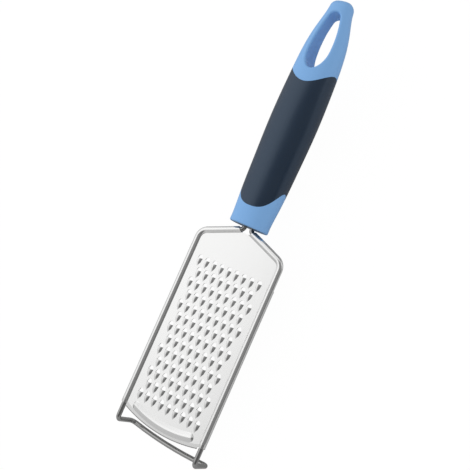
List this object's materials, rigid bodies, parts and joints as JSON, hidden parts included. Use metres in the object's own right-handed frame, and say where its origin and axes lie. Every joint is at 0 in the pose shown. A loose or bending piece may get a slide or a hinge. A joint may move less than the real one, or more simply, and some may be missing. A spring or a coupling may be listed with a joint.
{
  "type": "rasp zester",
  "caption": "Hand rasp zester: pierced steel plate rolled on a bent wire frame with a bowl-rim foot, and a soft-grip plastic handle with a hanging eye.",
  "frame": {"origin": "below the middle of the tool's outline, level with the underside of the foot", "axes": "+Y along the tool towards the hanging eye, +X across it, +Z out of the grating face"},
  "size_m": [0.0586, 0.2714, 0.0322],
  "materials": {
    "hard_plastic": "light blue, semi-gloss moulded plastic",
    "soft_grip": "navy, matt soft-touch elastomer",
    "steel_wire": "drawn and polished stainless wire",
    "steel_sheet": "bright rolled stainless sheet"
  },
  "bodies": {
    "root": {"handle_core": "hard_plastic", "grip_sleeve": "soft_grip", "wire_frame": "steel_wire", "grating_plate": "steel_sheet"}
  },
  "joints": []
}
